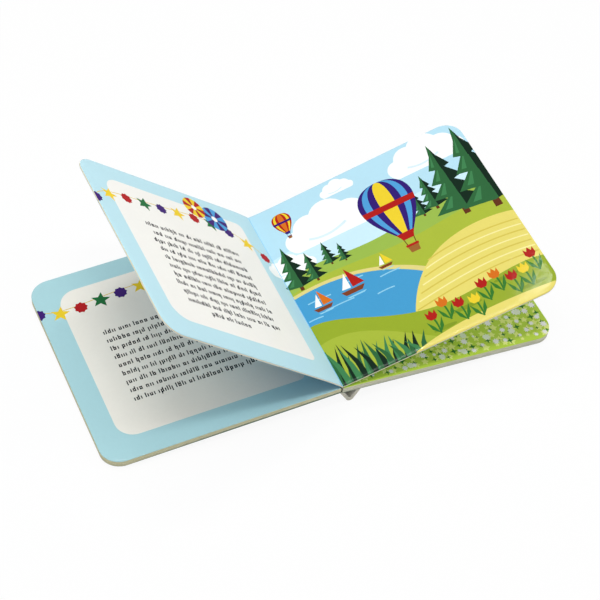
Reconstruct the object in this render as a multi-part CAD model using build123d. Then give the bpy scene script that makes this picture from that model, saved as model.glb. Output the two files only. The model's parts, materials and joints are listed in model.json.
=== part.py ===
from build123d import *
from math import asin, atan2, cos, hypot, radians, sin
import os

# A square board book lying open on a table, in millimetres. +X runs across the open book, from
# the front cover on the left to the back cover on the right, +Y runs up the pages and +Z is up.
# Two leaves stand up from the gutter, and the other leaves lie on the two covers. The strip of
# cover board round the spine has sprung out below the gutter as a V that props the book up.

# Pages and covers
page_width = 152.0          # from the spine fold to the fore-edge
page_height = 152.0         # along the spine
corner_radius = 13.0        # the fore-edge corners of every leaf and cover
leaf_thickness = 1.6
stack_leaves = 2            # leaves lying on each cover
parting_width = 0.14        # the seam that shows between two leaves of a stack
parting_depth = 0.7
cover_thickness = 2.0
edge_roll = 0.4             # the die rolls the outer edges over
spine_round = 1.2           # the folded spine end of each stack
cover_end_round = 0.7

# How the book lies open
gutter_height = 16.5        # the fold between the raised leaves, above the table
root_length = 18.0          # each raised leaf bends over this length beside the gutter
front_root_angle = 44.0     # angles of the raised leaves above level, at the gutter
back_root_angle = 12.0
front_near_leaf_angle = 39.9  # and past the bend, at the near and the far end of the spine
front_far_leaf_angle = 38.4
back_near_leaf_angle = 14.5
back_far_leaf_angle = 17.3
fold_clearance = 0.3        # between a raised leaf's fold and the stack that swings under it

# The strip of cover board round the spine
strip_thickness = 2.0
strip_bend_radius = 2.6     # outside of the bend that rests on the table
strip_bend_place = 6.1      # the bend, from the gutter towards the back cover
strip_front_tuck = 0.5      # how far the strip reaches under the front cover's spine end
strip_back_reach = 12.6     # how far it reaches along the underside of the back cover
strip_clearance = 0.2       # under both covers
crease_width = 1.0          # the scored lines in the covers, where the strip folds away
crease_depth = 0.45
front_crease_place = 3.4    # from the front cover's spine end

near_y = -page_height / 2
far_y = page_height / 2
FRONT = -1
BACK = 1


# Directions in the section across the spine, as (x, z). An angle is above level, and the side
# says whether the leaf runs to the front cover or to the back cover.
def along(side, angle):
    return (side * cos(radians(angle)), sin(radians(angle)))


def upward(side, angle):
    return (-side * sin(radians(angle)), cos(radians(angle)))


def moved(point, direction, distance):
    return (point[0] + direction[0] * distance, point[1] + direction[1] * distance)


def section_plane(y):
    return Plane(origin=(0, y, 0), x_dir=(1, 0, 0), z_dir=(0, -1, 0))


gutter = (0.0, gutter_height)
front_fold = moved(gutter, upward(FRONT, front_root_angle), -leaf_thickness)
back_fold = moved(gutter, upward(BACK, back_root_angle), -leaf_thickness)
stack_thickness = leaf_thickness * stack_leaves
block_thickness = stack_thickness + cover_thickness


# Raised leaves
class LeafLine:
    """One raised leaf in section: a bend out of the gutter, then straight to the fore-edge."""

    def __init__(self, side, root_angle, leaf_angle):
        self.side = side
        self.leaf_angle = leaf_angle
        middle_angle = (root_angle + leaf_angle) / 2
        mitre = leaf_thickness / cos(radians((leaf_angle - root_angle) / 2))
        self.knee = moved(gutter, along(side, root_angle), root_length / 2)
        self.straight = moved(self.knee, along(side, leaf_angle), root_length / 2)
        self.fore_edge = moved(self.straight, along(side, leaf_angle), page_width - root_length)
        self.under_root = moved(gutter, upward(side, root_angle), -leaf_thickness)
        self.under_knee = moved(self.knee, upward(side, middle_angle), -mitre)
        self.under_straight = moved(self.straight, upward(side, leaf_angle), -leaf_thickness)
        self.under_fore_edge = moved(self.fore_edge, upward(side, leaf_angle), -leaf_thickness)


def fold_meeting():
    """The undersides of the two raised leaves meet here, straight below the gutter."""
    front_way = along(FRONT, front_root_angle)
    back_way = along(BACK, back_root_angle)
    across = (back_fold[0] - front_fold[0], back_fold[1] - front_fold[1])
    turn = front_way[0] * back_way[1] - front_way[1] * back_way[0]
    reach = (across[0] * back_way[1] - across[1] * back_way[0]) / turn
    return moved(front_fold, front_way, reach)


def leaves_section(y, front_leaf_angle, back_leaf_angle):
    """Both raised leaves in section, joined at the gutter, and the lines they follow."""
    front = LeafLine(FRONT, front_root_angle, front_leaf_angle)
    back = LeafLine(BACK, back_root_angle, back_leaf_angle)
    meeting = fold_meeting()
    with BuildSketch(section_plane(y)) as section:
        with BuildLine():
            Line(front.fore_edge, front.straight)
            Bezier(front.straight, front.knee, gutter)
            Bezier(gutter, back.knee, back.straight)
            Line(back.straight, back.fore_edge)
            Line(back.fore_edge, back.under_fore_edge)
            Line(back.under_fore_edge, back.under_straight)
            Bezier(back.under_straight, back.under_knee, back.under_root)
            Line(back.under_root, meeting)
            Line(meeting, front.under_root)
            Bezier(front.under_root, front.under_knee, front.under_straight)
            Line(front.under_straight, front.under_fore_edge)
            Line(front.under_fore_edge, front.fore_edge)
        make_face()
    return section.sketch, front, back


def corner_waste(leaf, y, inward):
    """What the die removes at one fore-edge corner of a raised leaf, right through the board."""
    margin = 2 * leaf_thickness
    normal = upward(leaf.side, leaf.leaf_angle)
    run = along(leaf.side, leaf.leaf_angle)
    plane = Plane(
        origin=(leaf.fore_edge[0], y, leaf.fore_edge[1]),
        x_dir=(run[0], 0, run[1]),
        z_dir=(normal[0], 0, normal[1]),
    )
    towards = inward * leaf.side
    centre = (-corner_radius, towards * corner_radius)
    square = Pos((margin - corner_radius) / 2, towards * (corner_radius - margin) / 2)
    waste = square * Rectangle(corner_radius + margin, corner_radius + margin)
    waste -= Pos(*centre) * Circle(corner_radius)
    return plane * extrude(waste, amount=2 * margin, both=True)


def make_raised_leaves():
    near = leaves_section(near_y, front_near_leaf_angle, back_near_leaf_angle)
    far = leaves_section(far_y, front_far_leaf_angle, back_far_leaf_angle)
    leaves = loft([near[0], far[0]], ruled=True)
    for leaf in near[1:]:
        leaves -= corner_waste(leaf, near_y, 1)
    for leaf in far[1:]:
        leaves -= corner_waste(leaf, far_y, -1)
    return leaves


# Covers with the leaves that lie on them
class Block:
    """Where one cover and its stack lie: tilted down from the fold until the fore-edge rests."""

    def __init__(self, side, fold):
        self.side = side
        depth = fold_clearance + block_thickness
        self.slope = asin(fold[1] / hypot(page_width, depth)) - atan2(depth, page_width)
        self.run = (side * cos(self.slope), -sin(self.slope))
        self.normal = (side * sin(self.slope), cos(self.slope))
        self.top = moved(fold, self.normal, -fold_clearance)
        self.under = moved(self.top, self.normal, -block_thickness)

    def plane(self):
        return Plane(
            origin=(self.top[0], 0, self.top[1]),
            x_dir=(self.run[0], 0, self.run[1]),
            z_dir=(self.normal[0], 0, self.normal[1]),
        )

    def under_point(self, distance, drop=0.0):
        """A point under the cover, at a distance from its spine end and a drop below it."""
        return moved(moved(self.under, self.run, distance), self.normal, -drop)


front_block = Block(FRONT, front_fold)
back_block = Block(BACK, back_fold)


def page_outline():
    outline = Rectangle(page_width, page_height, align=(Align.MIN, Align.CENTER))
    return fillet(outline.vertices().group_by(Axis.X)[-1], radius=corner_radius)


def board(top, thickness):
    """A board of the page's outline, from its spine end at X = 0, with its top at a height."""
    return Pos(0, 0, top - thickness) * extrude(page_outline(), amount=thickness)


def open_edges(solid, height):
    """The edges at one height, without the one along the spine end."""
    ring = [edge for edge in solid.edges() if abs(edge.center().Z - height) < parting_width / 2]
    return [edge for edge in ring if edge.center().X > spine_round]


def make_stack(block):
    stack = board(0, stack_thickness)
    stack = fillet(open_edges(stack, 0), radius=edge_roll)
    spine_edge = stack.edges().filter_by(Axis.Y).group_by(Axis.X)[0].sort_by(Axis.Z)[-1]
    stack = fillet(spine_edge, radius=spine_round)
    seam_core = Rectangle(
        page_width - parting_depth,
        page_height - 2 * parting_depth,
        align=(Align.MIN, Align.CENTER),
    )
    seam_core = fillet(seam_core.vertices().group_by(Axis.X)[-1], radius=corner_radius - parting_depth)
    for count in range(1, stack_leaves):
        seam = extrude(page_outline() - seam_core, amount=parting_width)
        stack -= Pos(0, 0, -count * leaf_thickness - parting_width / 2) * seam
    return block.plane() * stack


def make_cover(block, crease_place):
    underside = -block_thickness
    cover = board(-stack_thickness, cover_thickness)
    cover = fillet(open_edges(cover, underside), radius=edge_roll)
    spine_edge = cover.edges().filter_by(Axis.Y).group_by(Axis.X)[0].sort_by(Axis.Z)[0]
    cover = fillet(spine_edge, radius=cover_end_round)
    crease_line = Polyline(
        (crease_place - crease_width / 2, underside),
        (crease_place, underside + crease_depth),
        (crease_place + crease_width / 2, underside),
        close=True,
    )
    crease = Plane.XZ * make_face(crease_line)
    cover -= extrude(crease, amount=page_height, both=True)
    return block.plane() * cover


# Spine strip
def tangent_point(point, centre, radius, side):
    """Where the line from a point touches the circle, on its left or right side."""
    gap = (point[0] - centre[0], point[1] - centre[1])
    spread = asin(radius / hypot(gap[0], gap[1]))
    bearing = atan2(gap[1], gap[0]) + side * (radians(90) - spread)
    return (centre[0] + radius * cos(bearing), centre[1] + radius * sin(bearing))


class Arm:
    """One arm of the strip: its outer line leaves the bend and runs on past the cover above."""

    def __init__(self, start, centre, side):
        self.touch = tangent_point(start, centre, strip_bend_radius, side)
        away = (centre[0] - self.touch[0], centre[1] - self.touch[1])
        inward = (away[0] / strip_bend_radius, away[1] / strip_bend_radius)
        length = (start[0] - self.touch[0], start[1] - self.touch[1])
        self.end = moved(start, length, 1)
        self.inner_touch = moved(self.touch, inward, strip_thickness)
        self.inner_end = moved(self.end, inward, strip_thickness)


def make_spine_strip():
    """A band of cover board: down from the front cover, round the bend, up to the back cover."""
    centre = (strip_bend_place, strip_bend_radius)
    lowest = (strip_bend_place, 0)
    inner_lowest = (strip_bend_place, strip_thickness)
    front = Arm(front_block.under_point(strip_front_tuck, strip_clearance), centre, 1)
    back = Arm(back_block.under_point(strip_back_reach, strip_clearance), centre, -1)
    with BuildSketch(section_plane(0)) as section:
        with BuildLine():
            Line(front.end, front.touch)
            ThreePointArc(front.touch, lowest, back.touch)
            Line(back.touch, back.end)
            Line(back.end, back.inner_end)
            Line(back.inner_end, back.inner_touch)
            ThreePointArc(back.inner_touch, inner_lowest, front.inner_touch)
            Line(front.inner_touch, front.inner_end)
            Line(front.inner_end, front.end)
        make_face()
        # Both ends are cut parallel to the covers that they meet.
        with BuildLine():
            Polyline(
                front_block.under_point(page_width, strip_clearance),
                front_block.under_point(0, strip_clearance),
                back_block.under_point(0, strip_clearance),
                back_block.under_point(page_width, strip_clearance),
                (page_width, -gutter_height),
                (-page_width, -gutter_height),
                close=True,
            )
        make_face(mode=Mode.INTERSECT)
    return extrude(section.sketch, amount=page_height / 2, both=True)


back_crease_place = strip_back_reach + crease_width
nodes = {
    "raised_pages": make_raised_leaves(),
    "front_pages": make_stack(front_block),
    "front_cover": make_cover(front_block, front_crease_place),
    "back_pages": make_stack(back_block),
    "back_cover": make_cover(back_block, back_crease_place),
    "spine_strip": make_spine_strip(),
}

# The origin is on the table, under the middle of the open book.
reach = Compound(list(nodes.values())).bounding_box()
centring = Pos(-(reach.min.X + reach.max.X) / 2, 0, 0)
os.makedirs("parts", exist_ok=True)
for name, node in nodes.items():
    export_step(centring * node.solid(), f"parts/{name}.step")

middle = centring.position.X
print(f"front hinge at x {middle + front_fold[0]:.3f} z {front_fold[1]:.3f}")
print(f"back hinge at x {middle + back_fold[0]:.3f} z {back_fold[1]:.3f}")
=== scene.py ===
import json
import math
from functools import partial, reduce

import bpy
import numpy as np
from mathutils import Matrix, Vector
from mathutils.geometry import delaunay_2d_cdt


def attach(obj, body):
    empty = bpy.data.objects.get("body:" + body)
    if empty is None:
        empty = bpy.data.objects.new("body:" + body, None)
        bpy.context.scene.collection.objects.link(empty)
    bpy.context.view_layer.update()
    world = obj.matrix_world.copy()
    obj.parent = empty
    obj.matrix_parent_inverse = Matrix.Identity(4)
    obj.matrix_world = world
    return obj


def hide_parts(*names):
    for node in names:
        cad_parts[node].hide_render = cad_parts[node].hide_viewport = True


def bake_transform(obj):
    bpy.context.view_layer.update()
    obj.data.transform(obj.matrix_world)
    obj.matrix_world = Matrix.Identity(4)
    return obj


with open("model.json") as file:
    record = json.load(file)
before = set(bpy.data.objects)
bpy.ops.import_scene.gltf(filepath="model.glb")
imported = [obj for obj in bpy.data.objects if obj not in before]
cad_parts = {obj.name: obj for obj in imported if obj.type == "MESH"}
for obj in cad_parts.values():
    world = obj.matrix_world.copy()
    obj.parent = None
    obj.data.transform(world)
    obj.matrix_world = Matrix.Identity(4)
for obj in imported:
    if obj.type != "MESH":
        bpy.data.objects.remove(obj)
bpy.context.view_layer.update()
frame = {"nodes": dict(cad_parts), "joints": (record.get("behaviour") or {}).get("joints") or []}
mm = 0.001

# Sizes of the open book, in mm and degrees. Front is the left half of the book, back the right half.
book = {
    "pageWidth": 152.0,
    "pageHeight": 152.0,
    "cornerRadius": 13.0,
    "leaf": 1.6,
    "leavesInStack": 2,
    "cover": 2.0,
    "foldClearance": 0.3,
    "rootLength": 18.0,            # each raised leaf bends this far beside the gutter
    "rootAngle": {"front": 44.0, "back": 12.0},
    "leafAngle": {"front": (39.9, 38.4), "back": (14.5, 17.3)},    # near end, far end
    "side": {"front": -1, "back": 1},
}
folds = {joint["child"]: Vector(joint["pos_m"]) / mm for joint in frame["joints"]}


# sRGB hex colour to linear
def toLinear(hexColour):
    channels = [int(hexColour[i:i + 2], 16) / 255 for i in (1, 3, 5)]
    return tuple(c / 12.92 if c <= 0.04045 else ((c + 0.055) / 1.055) ** 2.4 for c in channels) + (1.0,)


# Adds one node. Settings are its own properties. Inputs maps its sockets to a value, to another node's output,
# or to another node, which stands for its first output.
def addNode(tree, kind, inputs=None, **settings):
    made = tree.nodes.new(kind)
    for name, value in settings.items():
        setattr(made, name, value)
    for socket, value in (inputs or {}).items():
        if isinstance(value, bpy.types.Node):
            value = value.outputs[0]
        if isinstance(value, bpy.types.NodeSocket):
            tree.links.new(value, made.inputs[socket])
        else:
            made.inputs[socket].default_value = value
    return made


def calculate(tree, operation, a, b=0.0, c=0.0):
    return addNode(tree, "ShaderNodeMath", {0: a, 1: b, 2: c}, operation=operation)


# The open book in section, across the spine, as (x, z) in mm
def alongLeaf(half, angle):
    return np.array([book["side"][half] * math.cos(math.radians(angle)), math.sin(math.radians(angle))])


def awayFromLeaf(half, angle):
    return np.array([-book["side"][half] * math.sin(math.radians(angle)), math.cos(math.radians(angle))])


foldPoint = {half: np.array([folds[half].x, folds[half].z]) for half in ("front", "back")}
gutter = foldPoint["front"] + awayFromLeaf("front", book["rootAngle"]["front"]) * book["leaf"]


# Where the undersides of the two raised leaves meet, below the gutter
def undersMeeting():
    frontWay, backWay = (alongLeaf(half, book["rootAngle"][half]) for half in ("front", "back"))
    reach = np.linalg.solve(np.array([frontWay, -backWay]).T, foldPoint["back"] - foldPoint["front"])
    return foldPoint["front"] + frontWay * reach[0]


# One raised leaf's top or under line at one end of the spine, at distances u from the gutter
def leafLine(half, end, u, under):
    root, leaf = book["rootAngle"][half], book["leafAngle"][half][end]
    run = alongLeaf(half, leaf)
    start = gutter
    knee = gutter + alongLeaf(half, root) * book["rootLength"] / 2
    straight = knee + run * book["rootLength"] / 2
    if under:
        start = foldPoint[half]
        mitre = book["leaf"] / math.cos(math.radians((leaf - root) / 2))
        knee = knee - awayFromLeaf(half, (root + leaf) / 2) * mitre
        straight = straight - awayFromLeaf(half, leaf) * book["leaf"]
    share = np.clip(u / book["rootLength"], 0, 1)[:, None]
    bend = start * (1 - share) ** 2 + 2 * knee * share * (1 - share) + straight * share ** 2
    line = np.where(share < 1, bend, straight + run * (u - book["rootLength"])[:, None])
    if under:
        line[u < 1e-6] = undersMeeting()
    return line


# Places points of the raised spread. x is on the page, negative on the front leaf; depth is below the top face
def onSpread(x, y, depth):
    share = (y / book["pageHeight"] + 0.5)[:, None]
    down = (depth / book["leaf"])[:, None]
    ends = []
    for end in (0, 1):
        top, under = [np.where(x[:, None] < 0, leafLine("front", end, np.abs(x), isUnder),
                               leafLine("back", end, np.abs(x), isUnder)) for isUnder in (False, True)]
        ends.append(top * (1 - down) + under * down)
    place = ends[0] * (1 - share) + ends[1] * share
    return np.column_stack([place[:, 0], y, place[:, 1]])


# One cover and the leaves on it: tilted down from its fold until the fore-edge rests on the table
def blockLines(half):
    fold, side = foldPoint[half], book["side"][half]
    thickness = book["leaf"] * book["leavesInStack"] + book["cover"]
    depth = book["foldClearance"] + thickness
    slope = math.asin(fold[1] / math.hypot(book["pageWidth"], depth)) - math.atan2(depth, book["pageWidth"])
    run = np.array([side * math.cos(slope), -math.sin(slope)])
    up = np.array([side * math.sin(slope), math.cos(slope)])
    top = fold - up * book["foldClearance"]
    return {"top": top, "run": run, "up": up, "under": top - up * thickness}


blocks = {half: blockLines(half) for half in ("front", "back")}


# A function that places page coordinates on the leaves that lie on one cover
def onStack(half):
    block = blocks[half]

    def place(x, y, depth):
        flat = block["top"] + block["run"] * np.abs(x)[:, None] - block["up"] * depth[:, None]
        return np.column_stack([flat[:, 0], y, flat[:, 1]])
    return place


# Outlines of printed shapes, in page coordinates, in mm
def arc(centreX, centreY, radiusX, radiusY, start=0.0, stop=360.0, steps=28):
    angles = np.radians(np.linspace(start, stop, steps, endpoint=stop - start < 360))
    return [(centreX + radiusX * math.cos(a), centreY + radiusY * math.sin(a)) for a in angles]


def roundedBox(left, bottom, right, top, radiusLeft, radiusRight):
    corners = [(right - radiusRight, top - radiusRight, radiusRight, 0),
               (left + radiusLeft, top - radiusLeft, radiusLeft, 90),
               (left + radiusLeft, bottom + radiusLeft, radiusLeft, 180),
               (right - radiusRight, bottom + radiusRight, radiusRight, 270)]
    return [p for x, y, r, start in corners for p in arc(x, y, r, r, start, start + 90, steps=10)]


# A smooth curve that the given points pull into shape
def smoothLine(points, steps=40):
    share = np.linspace(0, 1, steps)[:, None]
    degree = len(points) - 1
    return sum(math.comb(degree, i) * share ** i * (1 - share) ** (degree - i) * np.array(point, float)
               for i, point in enumerate(points)).tolist()


# Pictures run past the page to these distances from its middle line and gutter, and its outline cuts them off
pastFoot, pastEdge = 90.0, 153.0


# Land in one ink below a smooth line, down past the foot of the page
def land(ink, *points):
    line = smoothLine(points)
    return [([(line[0][0], -pastFoot), (line[-1][0], -pastFoot)] + line[::-1], ink)]


# A stroke of even width along a smooth line
def stroke(points, width, steps=40):
    path = np.array(smoothLine(points, steps))
    along = np.gradient(path, axis=0)
    across = np.column_stack([-along[:, 1], along[:, 0]]) / np.linalg.norm(along, axis=1)[:, None] * width / 2
    return [tuple(p) for p in path - across] + [tuple(p) for p in (path + across)[::-1]]


# Points of a shape at unit size, stretched and set at x, y
def stretched(points, x, y, wide, high):
    return [(x + px * wide, y + py * high) for px, py in points]


def addObject(name, data):
    made = bpy.data.objects.new(name, data)
    bpy.context.scene.collection.objects.link(made)
    return made


# Shapes that repeat come from Geometry Nodes. This fills in a tree's inputs and reads back the flat outlines.
def outlinesFrom(tree, values, path=None):
    data = bpy.data.meshes.new("flatBase")
    if path:
        data.from_pydata([(x, y, 0) for x, y in path], [(i, i + 1) for i in range(len(path) - 1)], [])
    holder = addObject("flatHolder", data)
    modifier = holder.modifiers.new("repeat", "NODES")
    modifier.node_group = tree
    for item in tree.interface.items_tree:
        if item.item_type == "SOCKET" and item.in_out == "INPUT" and item.name in values:
            modifier[item.identifier] = values[item.name]
    evaluated = holder.evaluated_get(bpy.context.evaluated_depsgraph_get())
    flat = bpy.data.meshes.new_from_object(evaluated)
    spots = [(v.co.x, v.co.y) for v in flat.vertices]
    outlines = [[spots[i] for i in face.vertices] for face in flat.polygons]
    holder.modifiers.remove(modifier)
    bpy.data.objects.remove(holder)
    bpy.data.meshes.remove(flat)
    return outlines


# A new tree with inputs of each kind, named in one text for each kind
def newTree(name, **sockets):
    tree = bpy.data.node_groups.new(name, "GeometryNodeTree")
    tree.interface.new_socket("Geometry", in_out="INPUT", socket_type="NodeSocketGeometry")
    for kind, labels in sockets.items():
        for label in labels.split():
            tree.interface.new_socket(label, in_out="INPUT", socket_type="NodeSocket" + kind)
    tree.interface.new_socket("Geometry", in_out="OUTPUT", socket_type="NodeSocketGeometry")
    return tree, addNode(tree, "NodeGroupInput").outputs


def closeTree(tree, instances, material):
    real = addNode(tree, "GeometryNodeRealizeInstances", {"Geometry": instances})
    inked = addNode(tree, "GeometryNodeSetMaterial", {"Geometry": real, "Material": material})
    addNode(tree, "NodeGroupOutput", {"Geometry": inked})
    return tree


# Body type seen from reading distance: upright ticks of three heights, some joined in pairs by bars at the top
# or the foot, in word-long runs. It spells nothing. Chances run from 0 to 1.
ticks = {
    "tallAbove": 0.74,
    "deepBelow": 0.08,
    "grow": 0.5,                   # how much longer a tall or deep tick is, for its height
    "spaceReach": 3,               # slots
    "closer": 0.09,                # how far a joined tick moves to the other, for the step
    "topBarAbove": 0.3,
    "footBarBelow": 0.7,
}


def textTree(material):
    tree, given = newTree("textRows", Int="lines slots seed", Float="left top pitch step stem height "
                          "raggedStart raggedEnd lastStart lastEnd")
    add, minus, times, timesAdd, above, below, highest, whole, floor, divided, near = (
        partial(calculate, tree, operation) for operation in (
            "ADD", "SUBTRACT", "MULTIPLY", "MULTIPLY_ADD", "GREATER_THAN", "LESS_THAN", "MAXIMUM", "ROUND",
            "FLOOR", "DIVIDE", "COMPARE"))
    points = addNode(tree, "GeometryNodePoints", {"Count": times(given["lines"], given["slots"])})
    index = addNode(tree, "GeometryNodeInputIndex")
    line = floor(divided(add(index, 0.01), given["slots"]))
    slot = minus(index, times(line, given["slots"]))

    def chance(identity, offset):
        return addNode(tree, "FunctionNodeRandomValue", {"ID": identity, "Seed": add(given["seed"], offset)},
                       data_type="FLOAT").outputs["Value"]

    # The first and last slot of a line: both ends are ragged, the last line more
    lineChance = chance(line, 1.0)
    last = near(line, minus(given["lines"], 1.0), 0.1)
    start = timesAdd(given["raggedStart"], lineChance, times(last, given["lastStart"]))
    stop = timesAdd(given["raggedEnd"], lineChance, times(last, given["lastEnd"]))
    fromStart = minus(slot, whole(times(start, given["slots"])))
    toEnd = minus(whole(times(minus(1.0, stop), given["slots"])), slot)

    # 1 where a slot's chance beats that of so many slots on either side
    def standsOut(ahead, reach, offset):
        own, *others = [chance(add(index, ahead + more), offset)
                        for more in (0.0, *range(-reach, 0), *range(1, reach + 1))]
        return above(own, reduce(highest, others))

    # 1 where a slot is at least so many slots inside both ends of its line
    def inside(ahead, margin):
        return times(above(fromStart, margin - 0.5 - ahead), above(toEnd, margin + 0.5 + ahead))

    # A slot is a tick unless it is a space, and a word fits between a space and either end of the line
    def shownAt(ahead):
        reach = ticks["spaceReach"]
        return minus(inside(ahead, 0), times(standsOut(ahead, reach, 0.0), inside(ahead, reach)))

    # Neighbours are joined where their chance is higher than either side's, so that no tick is joined twice
    def joinedAt(ahead):
        return times(standsOut(ahead, 1, 3.0), times(shownAt(ahead), shownAt(ahead + 1.0)))

    kind = chance(index, 2.0)
    tall, deep = above(kind, ticks["tallAbove"]), below(kind, ticks["deepBelow"])
    high = times(timesAdd(add(tall, deep), ticks["grow"], 1.0), given["height"])
    lift = times(minus(tall, deep), times(given["height"], ticks["grow"] / 2))
    x = timesAdd(slot, given["step"], given["left"])
    y = minus(given["top"], times(given["pitch"], line))
    piece = addNode(tree, "GeometryNodeMeshGrid", {"Vertices X": 2, "Vertices Y": 2})

    def stamps(right, up, wide, tallness, wanted):
        place = addNode(tree, "ShaderNodeCombineXYZ", {"X": add(x, right), "Y": add(y, up)})
        placed = addNode(tree, "GeometryNodeSetPosition", {"Geometry": points, "Position": place})
        size = addNode(tree, "ShaderNodeCombineXYZ", {"X": wide, "Y": tallness, "Z": 1.0})
        return addNode(tree, "GeometryNodeInstanceOnPoints", {
            "Points": placed, "Selection": above(wanted, 0.5), "Instance": piece, "Scale": size})

    joined = joinedAt(0.0)
    closer = times(minus(joined, joinedAt(-1.0)), times(given["step"], ticks["closer"]))
    bar = chance(index, 4.0)
    toEdge = times(minus(given["height"], given["stem"]), 0.5)
    half = times(given["step"], 0.5)
    join = addNode(tree, "GeometryNodeJoinGeometry")
    stamped = [stamps(closer, lift, given["stem"], high, shownAt(0.0))]
    for up, wanted in ((toEdge, above(bar, ticks["topBarAbove"])),
                       (times(toEdge, -1.0), below(bar, ticks["footBarBelow"]))):
        stamped.append(stamps(half, up, given["step"], given["stem"], times(joined, wanted)))
    for stamp in stamped:
        tree.links.new(stamp.outputs[0], join.inputs[0])
    return closeTree(tree, join, material)


# A filled star; with many points and radii near each other it is a scalloped or petalled round
def filledStar(tree, given):
    star = addNode(tree, "GeometryNodeCurveStar", {
        "Points": given["points"], "Inner Radius": given["inner"], "Outer Radius": given["outer"]})
    return addNode(tree, "GeometryNodeFillCurve", {"Curve": star}, mode="NGONS")


# Stars or rounds set out evenly along a string; of every so many it makes one, so that inks take turns
def stringTree(material):
    tree, given = newTree("shapesOnString", Int="count every phase points", Float="inner outer drop")
    path = addNode(tree, "GeometryNodeMeshToCurve", {"Mesh": given["Geometry"]})
    spots = addNode(tree, "GeometryNodeResampleCurve", {"Curve": path, "Count": given["count"]})
    index = addNode(tree, "GeometryNodeInputIndex")
    turn = calculate(tree, "MODULO", index, given["every"])
    wanted = calculate(tree, "COMPARE", turn, given["phase"], 0.1)
    drop = addNode(tree, "ShaderNodeCombineXYZ", {"Y": given["drop"]})
    hung = addNode(tree, "GeometryNodeTransform", {"Geometry": filledStar(tree, given), "Translation": drop})
    return closeTree(tree, addNode(tree, "GeometryNodeInstanceOnPoints", {
        "Points": spots, "Selection": wanted, "Instance": hung}), material)


# Petalled dots strewn over a field, none nearer than a spacing to the next
def meadowTree(material):
    smallest, largest = 0.5, 1.3
    tree, given = newTree("strewnFlowers", Vector="centre", Int="points seed",
                          Float="width depth spacing inner outer")
    field = addNode(tree, "GeometryNodeMeshGrid", {"Size X": given["width"], "Size Y": given["depth"]})
    moved = addNode(tree, "GeometryNodeTransform", {"Geometry": field, "Translation": given["centre"]})
    spots = addNode(tree, "GeometryNodeDistributePointsOnFaces", {
        "Mesh": moved, "Distance Min": given["spacing"], "Density Max": 1.0, "Seed": given["seed"]},
        distribute_method="POISSON")
    size = addNode(tree, "FunctionNodeRandomValue", {"Min": smallest, "Max": largest, "Seed": given["seed"]},
                   data_type="FLOAT")
    return closeTree(tree, addNode(tree, "GeometryNodeInstanceOnPoints", {
        "Points": spots, "Instance": filledStar(tree, given), "Scale": size.outputs["Value"]}), material)


# Materials
def newMaterial(name):
    material = bpy.data.materials.new(name)
    material.use_nodes = True
    tree = material.node_tree
    tree.nodes.clear()
    return material, tree


def closeMaterial(tree, kind, inputs):
    addNode(tree, "ShaderNodeOutputMaterial", {"Surface": addNode(tree, kind, inputs)})


# The scale of noise whose patches are so many mm wide, and flatter than that in z
def patches(sizeMm, flatter=1.0):
    scale = 1 / (sizeMm * mm)
    return scale, scale, scale * flatter


def noise(tree, vector, scale, detail=2.0, roughness=0.5):
    spread = addNode(tree, "ShaderNodeMapping", {"Vector": vector, "Scale": scale})
    return addNode(tree, "ShaderNodeTexNoise", {"Vector": spread, "Scale": 1.0, "Detail": detail,
                                                "Roughness": roughness})


def remap(tree, value, low=0.0, high=1.0, start=0.3, stop=0.7):
    return addNode(tree, "ShaderNodeMapRange", {"Value": value, "From Min": start, "From Max": stop,
                                                "To Min": low, "To Max": high})


def mixColours(tree, share, first, second):
    mixed = addNode(tree, "ShaderNodeMix", {"Factor": share, "A": first, "B": second}, data_type="RGBA")
    return mixed.outputs["Result"]


def bump(tree, height, deepMm, strength, **more):
    inputs = {"Height": height, "Distance": deepMm * mm, "Strength": strength}
    return addNode(tree, "ShaderNodeBump", {**inputs, **more})


# Offset-printed board with a gloss film laminated on: even ink, a clear smooth skin that mirrors a little, and
# the fine orange peel that the board's fibres press into the film
def makeLaminatedPrint():
    # Width in mm, detail and roughness of each noise, and the lowest and highest value it comes to
    unevenness = {
        "mottle": (2.4, 2.0, 0.5, 0.99, 1.005),
        "cloudiness": (38.0, 2.0, 0.5, 0.985, 1.01),
        "slack": (16.0, 1.0, 0.4, 0.0, 1.0),
        "peel": (2.6, 2.0, 0.5, 0.0, 1.0),
        "roughness": (9.0, 3.0, 0.5, 0.3, 0.4),
    }
    material, tree = newMaterial("laminatedPrintedBoard")
    ink = addNode(tree, "ShaderNodeAttribute", attribute_name="ink", attribute_type="GEOMETRY")
    spot = addNode(tree, "ShaderNodeTexCoord").outputs["Object"]
    uneven = {name: remap(tree, noise(tree, spot, patches(size), detail, roughness), low, high)
              for name, (size, detail, roughness, low, high) in unevenness.items()}
    tint = calculate(tree, "MULTIPLY", uneven["mottle"], uneven["cloudiness"])
    inked = addNode(tree, "ShaderNodeVectorMath", {0: ink.outputs["Color"], "Scale": tint}, operation="SCALE")
    slack = bump(tree, uneven["slack"], 0.2, 0.3)
    film = bump(tree, uneven["peel"], 0.04, 0.5, Normal=slack)
    closeMaterial(tree, "ShaderNodeBsdfPrincipled", {
        "Base Color": inked, "Roughness": uneven["roughness"], "IOR": 1.5, "Specular IOR Level": 0.0,
        "Coat Weight": 0.18, "Coat Roughness": 0.1, "Coat IOR": 1.49, "Normal": film, "Coat Normal": film})
    return material


# Bare cut edges: the scale of plies and fibres on the flat map; on a cover their width in mm and how much
# flatter they are
cutEdge = {
    "plies": (14.0, 420.0, 1.0),
    "fibres": (90.0, 700.0, 1.0),
    "coverPlies": (7.0, 30.0),
    "coverFibres": (1.1, 8.0),
    "roughness": (0.7, 0.92),
    "relief": (0.08, 0.6),             # mm, strength
}


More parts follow.
